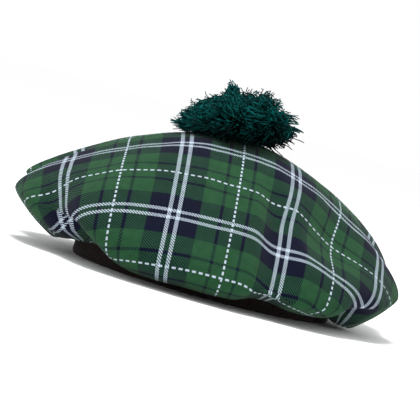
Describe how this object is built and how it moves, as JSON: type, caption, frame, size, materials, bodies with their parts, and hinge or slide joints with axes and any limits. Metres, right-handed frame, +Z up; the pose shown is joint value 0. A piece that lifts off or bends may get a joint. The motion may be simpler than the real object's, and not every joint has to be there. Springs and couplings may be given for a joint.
{
  "type": "tartan beret",
  "caption": "Soft tartan tam: a slouched round cloth crown gathered into a dark ribbed headband, with a shaggy wool pompom on top. It is worn on the head and rests on its band.",
  "frame": {"origin": "on the surface that the band's rim stands on, under the middle of the hat's box", "axes": "+Z is up, -Y is the front to which the crown slouches, and +X is to the right of someone who looks at the front"},
  "size_m": [0.2718, 0.2646, 0.1424],
  "materials": {
    "tartan_wool": "matt twill",
    "band_knit": "fine ribbed knit",
    "pompom_yarn": "cut wool yarn"
  },
  "bodies": {
    "root": {"crown": "tartan_wool", "headband": "band_knit", "pompom": "pompom_yarn"}
  },
  "joints": []
}
